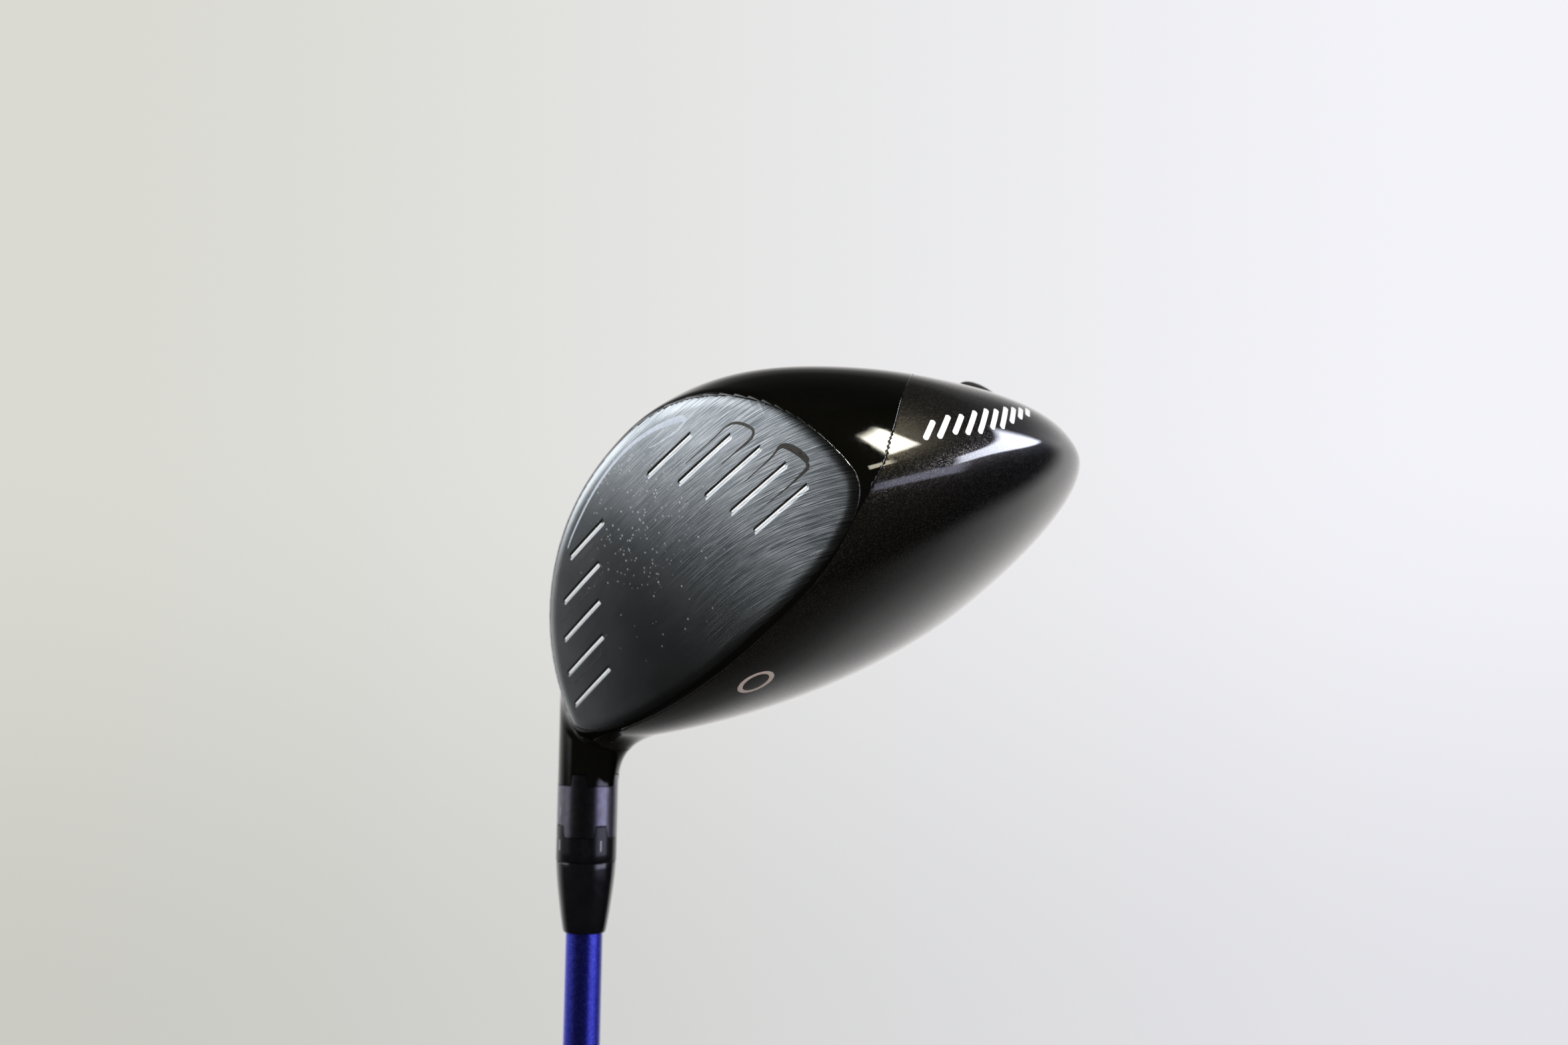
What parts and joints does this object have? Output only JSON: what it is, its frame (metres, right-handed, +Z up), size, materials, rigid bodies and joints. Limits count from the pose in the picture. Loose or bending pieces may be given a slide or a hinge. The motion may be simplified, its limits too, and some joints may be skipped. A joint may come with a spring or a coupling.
{
  "type": "golf driver",
  "caption": "Large hollow-headed golf driver: curved brushed face, painted crown, castellated adjustable hosel, end-capped weight tube, long tapered shaft and rubber grip.",
  "frame": {"origin": "the sole's rest point, the middle of the small flat under the head, with the club soled at its lie angle", "axes": "+Z up from the ground, +X from toe to heel, +Y from the face to the rear of the head; the shaft rises towards +X and +Z"},
  "size_m": [0.7037, 0.1161, 0.9788],
  "materials": {
    "face_metal": "heel-to-toe brushed dark titanium",
    "line_paint": "matt pale paint fill",
    "gloss_black": "gloss black lacquer",
    "flake_paint": "dark charcoal with bronze and blue flake under clear coat",
    "elastomer": "matt",
    "tube_metal": "satin",
    "cartridge_metal": "anodised satin",
    "tungsten": "sintered",
    "light_polymer": "plain",
    "cap_black": "black anodised satin",
    "screw_steel": "plated steel",
    "ring_anodised": "grey-lilac anodised satin",
    "sleeve_black": "black anodised, semi-gloss",
    "insert_brass": "machined",
    "ferrule_black": "polished",
    "shaft_blue": "metallic blue lacquer over graphite",
    "plug_polymer": "plain",
    "tape": "woven adhesive tape",
    "grip_rubber": "textured matt",
    "tack": "tacky glue",
    "retainer_nylon": "plain nylon"
  },
  "bodies": {
    "head": {"face_plate": "face_metal", "scoreline_paint": "line_paint", "front_body": "gloss_black", "channel_insert": "elastomer", "crown_skirt_shell": "flake_paint", "rear_sole_shell": "flake_paint", "weight_tube": "tube_metal", "tube_bumper": "elastomer", "hot_melt_patch": "tack", "screw_retainer": "retainer_nylon", "screw_washer": "screw_steel"},
    "screw": {"hosel_screw": "screw_steel"},
    "ring": {"adjust_ring": "ring_anodised"},
    "shaft_assembly": {"shaft_sleeve": "sleeve_black", "sleeve_insert": "insert_brass", "ferrule": "ferrule_black", "shaft": "shaft_blue", "shaft_tip_plug": "plug_polymer", "grip_tape": "tape", "grip": "grip_rubber"},
    "cartridge": {"weight_cartridge": "cartridge_metal", "tungsten_slug": "tungsten", "light_slug": "light_polymer"},
    "cap_seal": {"cap_o_ring": "elastomer"},
    "cap": {"weight_cap": "cap_black"}
  },
  "joints": [
    {"name": "hosel_screw_turn", "type": "hinge", "parent": "head", "child": "screw", "pos_m": [0.04725, -0.00474, 0.02029], "axis": [0.5255, 0, 0.8508], "continuous": true},
    {"name": "ring_lift", "type": "slide", "parent": "head", "child": "ring", "axis": [0.5255, 0, 0.8508], "range_m": [0, 0.036]},
    {"name": "shaft_draw", "type": "slide", "parent": "ring", "child": "shaft_assembly", "axis": [0.5255, 0, 0.8508], "range_m": [0, 0.048]},
    {"name": "cartridge_draw", "type": "slide", "parent": "head", "child": "cartridge", "axis": [-0.9651, -0.05, -0.257], "range_m": [0, 0.06]},
    {"name": "cap_travel", "type": "slide", "parent": "head", "child": "cap_seal", "axis": [-0.9651, -0.05, -0.257], "range_m": [0, 0.075]},
    {"name": "cap_turn", "type": "hinge", "parent": "cap_seal", "child": "cap", "pos_m": [-0.03731, 0.0483, 0.01954], "axis": [-0.9651, -0.05, -0.257], "continuous": true}
  ],
  "couplings": [
    {"joint": "cap_travel", "follows": "cartridge_draw", "ratio": 1.25}
  ]
}
